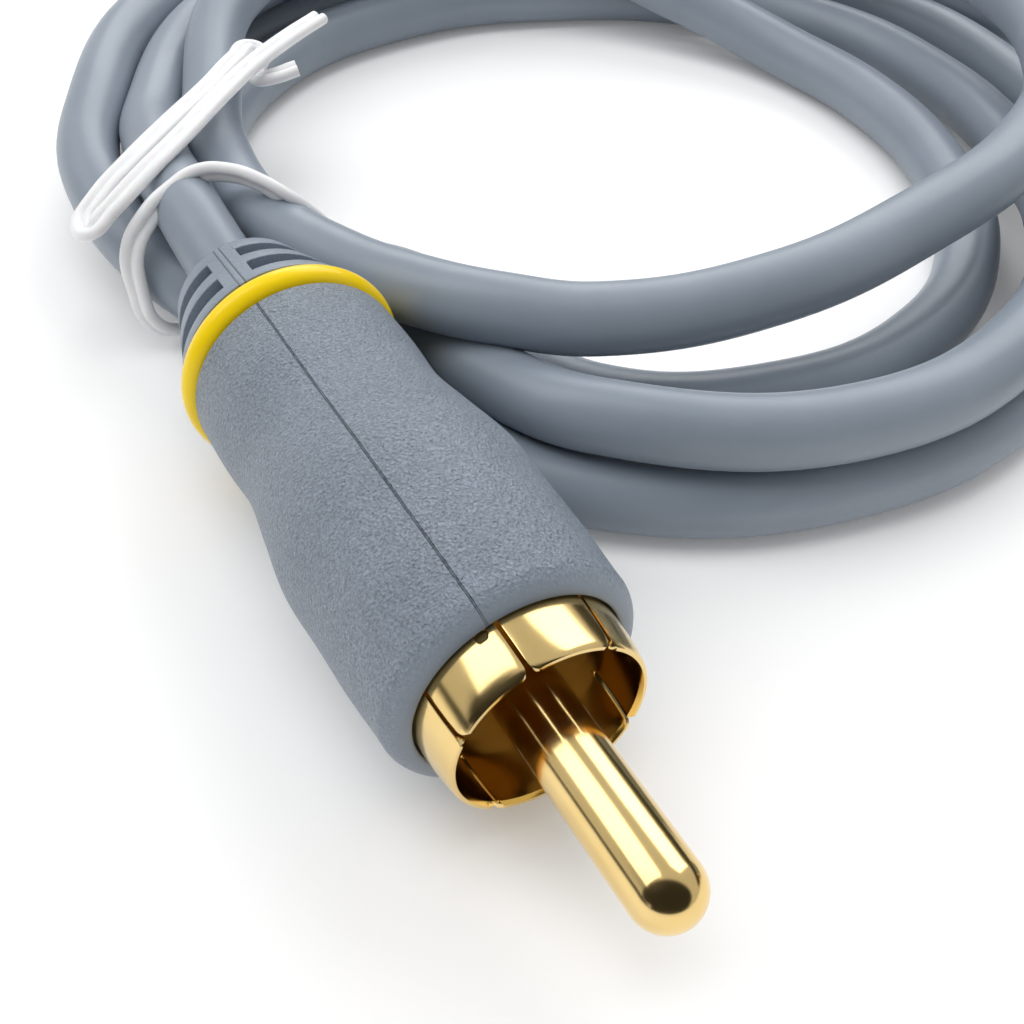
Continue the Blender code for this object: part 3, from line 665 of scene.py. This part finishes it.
dimple.matrix_world = Matrix.Rotation(-math.radians(DIMPLE_TURN), 4, "Z") @ shift @ out
cutters.append(dimple)
for number, cutter in enumerate(cutters):
    slot = shell.modifiers.new(f"slot_{number}", "BOOLEAN")
    slot.operation = "DIFFERENCE"
    slot.object = cutter
bpy.ops.object.select_all(action="DESELECT")
shell.select_set(True)
bpy.context.view_layer.objects.active = shell
for number in range(len(cutters)):
    bpy.ops.object.modifier_apply(modifier=f"slot_{number}")
for cutter in cutters:
    bpy.data.objects.remove(cutter)
edges = shell.modifiers.new("thin_bright_edges", "BEVEL")
edges.width = 0.00004
edges.segments = 2
edges.limit_method = "ANGLE"
edges.angle_limit = math.radians(50)
bpy.ops.object.modifier_apply(modifier="thin_bright_edges")

# The shell's inner faces, which look at the axis, get a deeper, warmer gold: a painted reflection
# of light bounced to and fro inside the gold shell.
LOOKS_INWARD = -0.002
shell.data.attributes.new("inside", "FLOAT", "FACE")
for number, face in enumerate(shell.data.polygons):
    facing = face.center.x * face.normal.x + face.center.y * face.normal.y
    shell.data.attributes["inside"].data[number].value = 1.0 if facing < LOOKS_INWARD else 0.0
gold, gold_shader = new_material("gold_plate", metallic=1.0)
place_of = add_node(gold, "ShaderNodeTexCoord")
tarnish = add_node(gold, "ShaderNodeTexNoise", [(place_of.outputs["Object"], "Vector")])
tarnish.inputs["Scale"].default_value = 420
tarnish.inputs["Detail"].default_value = 3
tint = add_node(gold, "ShaderNodeValToRGB", [(tarnish.outputs["Fac"], "Fac")])
tint.color_ramp.elements[0].position = 0.25
tint.color_ramp.elements[0].color = (0.80, 0.58, 0.24, 1)
tint.color_ramp.elements[1].position = 0.75
tint.color_ramp.elements[1].color = (0.86, 0.64, 0.29, 1)
# Painted reflection: the inner faces take the deeper gold of light bounced inside the shell.
inner_reflection_mask = add_node(gold, "ShaderNodeAttribute", attribute_name="inside")
painted_inner_reflection = add_node(gold, "ShaderNodeMix", data_type="RGBA")
join_sockets(gold, inner_reflection_mask.outputs["Fac"], painted_inner_reflection.inputs["Factor"])
join_sockets(gold, tint.outputs["Color"], painted_inner_reflection.inputs["A"])
painted_inner_reflection.inputs["B"].default_value = (0.86, 0.52, 0.11, 1)
join_sockets(gold, painted_inner_reflection.outputs["Result"], gold_shader.inputs["Base Color"])
polish = add_node(gold, "ShaderNodeMapRange", [(tarnish.outputs["Fac"], "Value")])
polish.inputs["To Min"].default_value = 0.13
polish.inputs["To Max"].default_value = 0.18
join_sockets(gold, polish.outputs["Result"], gold_shader.inputs["Roughness"])
scratches = add_node(gold, "ShaderNodeTexNoise", [(place_of.outputs["Object"], "Vector")])
scratches.inputs["Scale"].default_value = 3000
plating = add_node(gold, "ShaderNodeBump", [(scratches.outputs["Fac"], "Height")])
plating.inputs["Strength"].default_value = 0.05
plating.inputs["Distance"].default_value = 0.00002
join_sockets(gold, plating.outputs["Normal"], gold_shader.inputs["Normal"])
shell.data.materials.append(gold)
bpy.ops.object.shade_smooth_by_angle(angle=math.radians(30))
front_shell, side_shell = set_in_plugs(shell, "contact")
for end, piece in (("front", front_shell), ("side", side_shell)):
    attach(piece, "root")
    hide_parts(f"contact_shell_{end}")

# The centre contact: a solid brass pin with a round nose, turned, polished and gold plated.
# Its thinner stem sits in the insulator, and the cable's inner conductor is soldered in behind.
PIN_RADIUS = 0.0016
PIN_REACH = 0.0095
PIN_STEM = 0.0010
PIN_SHOULDER = 0.0072
PIN_CHAMFER = 0.0001
PIN_SIDES = 96
pin_line = [
    (PIN_STEM, 0.0120),
    (PIN_STEM, PIN_SHOULDER),
    (PIN_RADIUS - PIN_CHAMFER, PIN_SHOULDER),
    (PIN_RADIUS, PIN_SHOULDER - PIN_CHAMFER),
    (PIN_RADIUS, 0.0040),
    (PIN_RADIUS, 0.0),
    (PIN_RADIUS, -0.0050),
]
for degrees in range(0, 90, 6):
    angle = math.radians(degrees)
    behind = PIN_RADIUS - PIN_REACH - PIN_RADIUS * math.sin(angle)
    pin_line.append((PIN_RADIUS * math.cos(angle), behind))
pin = lathe("pin", pin_line, PIN_SIDES)
bpy.ops.object.mode_set(mode="EDIT")
bpy.ops.mesh.edge_face_add()
bpy.ops.mesh.poke()
bpy.ops.mesh.select_all(action="SELECT")
bpy.ops.mesh.normals_make_consistent(inside=False)
bpy.ops.object.mode_set(mode="OBJECT")
pin.data.materials.append(gold)
bpy.ops.object.shade_smooth_by_angle(angle=math.radians(35))
front_pin, side_pin = set_in_plugs(pin, "pin")
for end, piece in (("front", front_pin), ("side", side_pin)):
    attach(piece, "root")
    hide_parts(f"centre_pin_{end}")

# The twist tie: a white plastic-coated ribbon with a round rib along each edge. It goes round the
# bundle, and its doubled end, folded back at the left, lies over the top with its two ends apart.
TIE_RIB = 0.00036
TIE_RIB_SPACING = 0.00034
# The doubled end's line, and the loop's line with the ribbon's turn about it in degrees.
TIE_ENDS = (
    (-0.0303, 0.0165, 0.0100),
    (-0.0320, 0.0134, 0.0101),
    (-0.0338, 0.0098, 0.0101),
    (-0.0353, 0.0060, 0.0100),
    (-0.0368, 0.0015, 0.0099),
    (-0.0384, -0.0023, 0.0096),
    (-0.0401, -0.0049, 0.0087),
    (-0.0412, -0.0057, 0.0079),
    (-0.0417, -0.0048, 0.0079),
    (-0.0410, -0.0031, 0.0086),
    (-0.0397, -0.0005, 0.0092),
    (-0.0381, 0.0037, 0.0094),
    (-0.0365, 0.0081, 0.0094),
    (-0.0353, 0.0120, 0.0094),
    (-0.0346, 0.0137, 0.0093),
    (-0.0341, 0.0135, 0.0090),
    (-0.0341, 0.0119, 0.0087),
    (-0.0337, 0.0106, 0.0087),
    (-0.0327, 0.0103, 0.0090),
    (-0.0312, 0.0108, 0.0093),
)
TIE_LOOP = (
    (-0.0381, -0.0043, 0.0080, 60),
    (-0.0369, -0.0030, 0.0088, 75),
    (-0.0354, -0.0019, 0.0093, 80),
    (-0.0336, -0.0018, 0.0093, 80),
    (-0.0319, -0.0023, 0.0090, 80),
    (-0.0304, -0.0027, 0.0082, 70),
    (-0.0294, -0.0022, 0.0068, 50),
    (-0.0285, -0.0010, 0.0046, 30),
    (-0.0278, 0.0003, 0.0024, 10),
    (-0.0285, 0.0006, 0.0009, 0),
    (-0.0316, 0.0002, 0.0008, 0),
    (-0.0348, -0.0026, 0.0008, 0),
    (-0.0373, -0.0053, 0.0008, 0),
    (-0.0386, -0.0063, 0.0020, 0),
    (-0.0391, -0.0061, 0.0042, 0),
    (-0.0391, -0.0054, 0.0064, 30),
)
rib_outline = bpy.data.curves.new("tie_outline", "CURVE")
rib_outline.dimensions = "2D"
outline = rib_outline.splines.new("POLY")
outline_points = []
for side in (1, -1):
    for degrees in range(-150, 151, 20):
        angle = math.radians(degrees)
        x = side * (TIE_RIB_SPACING + TIE_RIB * math.cos(angle))
        outline_points.append((x, side * TIE_RIB * math.sin(angle)))
outline.points.add(len(outline_points) - 1)
for target, (x, y) in zip(outline.points, outline_points):
    target.co = (x, y, 0, 1)
outline.use_cyclic_u = True
rib_shape = bpy.data.objects.new("tie_outline", rib_outline)
bpy.context.scene.collection.objects.link(rib_shape)
runs = []
for name, points, closed, twist in (
    ("tie_ends", TIE_ENDS, False, "Z_UP"),
    ("tie_loop", TIE_LOOP, True, "MINIMUM"),
):
    tie_curve = bpy.data.curves.new(name, "CURVE")
    tie_curve.dimensions = "3D"
    tie_curve.twist_mode = twist
    tie_path = tie_curve.splines.new("BEZIER")
    tie_path.bezier_points.add(len(points) - 1)
    tie_path.use_cyclic_u = closed
    for knot, point in zip(tie_path.bezier_points, points):
        knot.co = point[:3]
        knot.tilt = math.radians(point[3]) if closed else 0
        knot.handle_left_type = "AUTO"
        knot.handle_right_type = "AUTO"
    tie_curve.resolution_u = 10
    tie_curve.bevel_mode = "OBJECT"
    tie_curve.bevel_object = rib_shape
    tie_curve.use_fill_caps = True
    run = bpy.data.objects.new(name, tie_curve)
    bpy.context.scene.collection.objects.link(run)
    runs.append(run)
bpy.ops.object.select_all(action="DESELECT")
for run in runs:
    run.select_set(True)
bpy.context.view_layer.objects.active = runs[0]
bpy.ops.object.convert(target="MESH")
bpy.ops.object.join()
tie = bpy.context.object
tie.name = "tie_wire"
bpy.data.objects.remove(rib_shape)
bpy.ops.object.mode_set(mode="EDIT")
bpy.ops.mesh.select_all(action="SELECT")
bpy.ops.mesh.remove_doubles(threshold=THIN_CUT)
bpy.ops.mesh.normals_make_consistent(inside=False)
bpy.ops.object.mode_set(mode="OBJECT")
tie.data.materials.clear()

white, white_shader = new_material("white_tie_pvc", 0.38)
white_shader.inputs["Subsurface Weight"].default_value = 0.15
white_shader.inputs["Subsurface Scale"].default_value = 0.0006
place_of = add_node(white, "ShaderNodeTexCoord")
cloudy = add_node(white, "ShaderNodeTexNoise", [(place_of.outputs["Object"], "Vector")])
cloudy.inputs["Scale"].default_value = 700
tint = add_node(white, "ShaderNodeValToRGB", [(cloudy.outputs["Fac"], "Fac")])
tint.color_ramp.elements[0].color = (0.84, 0.85, 0.86, 1)
tint.color_ramp.elements[1].color = (0.90, 0.91, 0.92, 1)
join_sockets(white, tint.outputs["Color"], white_shader.inputs["Base Color"])
drawn = add_node(white, "ShaderNodeBump", [(cloudy.outputs["Fac"], "Height")])
drawn.inputs["Strength"].default_value = 0.2
drawn.inputs["Distance"].default_value = 0.0001
join_sockets(white, drawn.outputs["Normal"], white_shader.inputs["Normal"])
tie.data.materials.append(white)
bpy.ops.object.shade_smooth_by_angle(angle=math.radians(50))
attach(tie, "root")
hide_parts("twist_tie")

# Inside each plug: the natural nylon insulator that carries the pin, and the stripped end of the
# cable behind it with its copper core, polythene dielectric and tinned screen. They stay as cut.
INNER_FINISHES = (
    ("insulator", "natural_nylon", (0.80, 0.76, 0.66), 0.42, 0.0, 700),
    ("conductor", "copper", (0.80, 0.38, 0.22), 0.28, 1.0, 900),
    ("dielectric", "polythene", (0.82, 0.82, 0.79), 0.45, 0.0, 600),
    ("screen", "tinned_braid", (0.60, 0.55, 0.48), 0.38, 1.0, 2500),
)
for node, name, colour, roughness, metallic, scale in INNER_FINISHES:
    finish, finish_shader = new_material(name, roughness, metallic)
    place_of = add_node(finish, "ShaderNodeTexCoord")
    cloudy = add_node(finish, "ShaderNodeTexNoise", [(place_of.outputs["Object"], "Vector")])
    cloudy.inputs["Scale"].default_value = scale
    tint = add_node(finish, "ShaderNodeValToRGB", [(cloudy.outputs["Fac"], "Fac")])
    tint.color_ramp.elements[0].color = (*(0.9 * part for part in colour), 1)
    tint.color_ramp.elements[1].color = (*colour, 1)
    join_sockets(finish, tint.outputs["Color"], finish_shader.inputs["Base Color"])
    rough = add_node(finish, "ShaderNodeBump", [(cloudy.outputs["Fac"], "Height")])
    rough.inputs["Strength"].default_value = 0.2
    rough.inputs["Distance"].default_value = 0.0001
    join_sockets(finish, rough.outputs["Normal"], finish_shader.inputs["Normal"])
    for end in ("front", "side"):
        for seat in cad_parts[f"{node}_{end}"].material_slots:
            seat.material = finish
